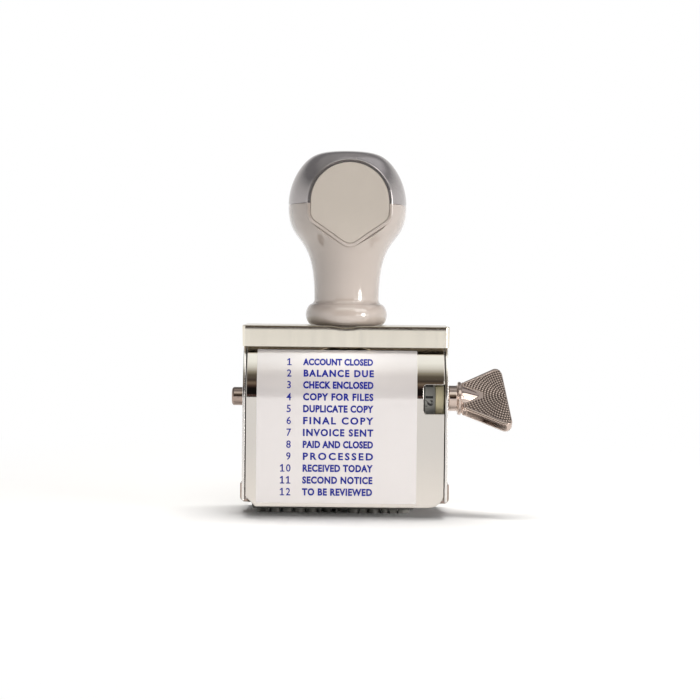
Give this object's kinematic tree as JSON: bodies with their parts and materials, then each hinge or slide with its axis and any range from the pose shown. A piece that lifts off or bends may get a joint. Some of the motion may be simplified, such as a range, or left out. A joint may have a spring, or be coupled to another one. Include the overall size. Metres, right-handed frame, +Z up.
{
  "type": "rotary hand stamp",
  "caption": "Hand stamp with a knob handle on a bright sheet-metal case; a wing key turns a rubber type band past a platen and a number dial in a window.",
  "frame": {"origin": "middle of the print face under the handle's axis, on the surface that the stamp stands on", "axes": "+Z up along the handle, +X along the axle towards the key, front with the label at -Y"},
  "size_m": [0.0758, 0.0262, 0.0984],
  "materials": {
    "grip_plastic": "gloss warm grey",
    "cap_plastic": "gloss silver grey",
    "plaque_plastic": "satin warm grey",
    "nickel_sheet": "bright nickel plate",
    "cast_key": "tarnished nickel over copper, pebbled",
    "plated_steel": "plated",
    "label_card": "gloss coated white card",
    "brass": "turned",
    "drum_plastic": "moulded black",
    "dial_plastic": "moulded grey",
    "wheel_plastic": "moulded cream",
    "type_rubber": "matt grey-green"
  },
  "bodies": {
    "body": {"handle_grip": "grip_plastic", "handle_cap": "cap_plastic", "front_plaque": "plaque_plastic", "rear_plaque": "plaque_plastic", "handle_insert": "brass", "handle_screw": "plated_steel", "lock_washer": "plated_steel", "lid": "nickel_sheet", "frame": "nickel_sheet", "hood": "nickel_sheet", "label": "label_card", "index_spring": "plated_steel", "spring_rivet": "plated_steel", "thrust_washer": "plated_steel", "type_band": "type_rubber", "platen": "nickel_sheet", "platen_rivets": "plated_steel"},
    "drive": {"axle": "plated_steel", "drum": "drum_plastic", "drum_pin": "plated_steel", "retaining_clip": "plated_steel", "number_dial": "dial_plastic", "index_wheel": "wheel_plastic", "key": "cast_key", "key_pin": "plated_steel"}
  },
  "joints": [
    {"name": "key_turn", "type": "hinge", "parent": "body", "child": "drive", "pos_m": [0, 0, 0.0315], "axis": [1, 0, 0], "continuous": true, "deforming": ["index_spring"]}
  ]
}
